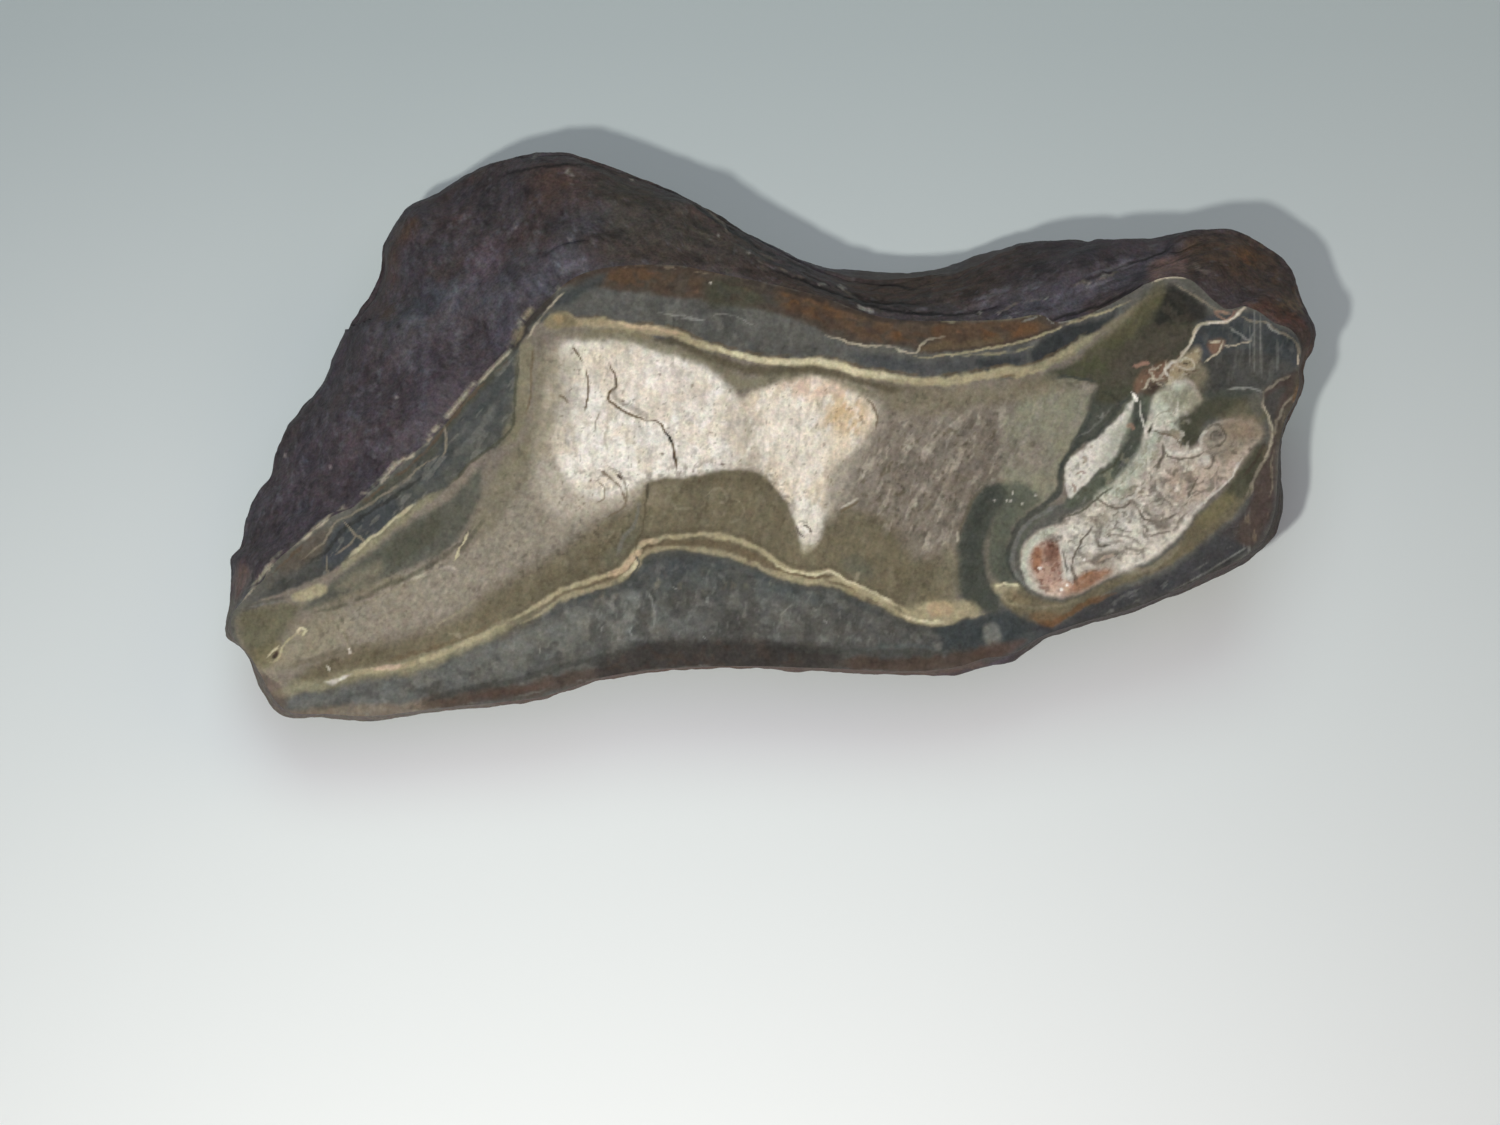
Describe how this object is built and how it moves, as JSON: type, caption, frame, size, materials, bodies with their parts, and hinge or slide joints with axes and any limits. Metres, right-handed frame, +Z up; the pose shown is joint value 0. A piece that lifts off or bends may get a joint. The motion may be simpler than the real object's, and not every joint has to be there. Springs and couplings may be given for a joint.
{
  "type": "sawn banded stone",
  "caption": "Natural stone with a dark weathered rind, sawn flat on one side to show bent pale and olive bands, lying on its rounded back.",
  "frame": {"origin": "middle of the stone's box, on the table that it rests on", "axes": "+Z up, +X along the stone's length towards its right end as seen from the front, -Y the front, to which the sawn face leans by 22 degrees"},
  "size_m": [0.1326, 0.0724, 0.0323],
  "materials": {
    "banded_stone": "sawn face smooth and dull, rind rough and weathered"
  },
  "bodies": {
    "root": {"stone": "banded_stone"}
  },
  "joints": []
}
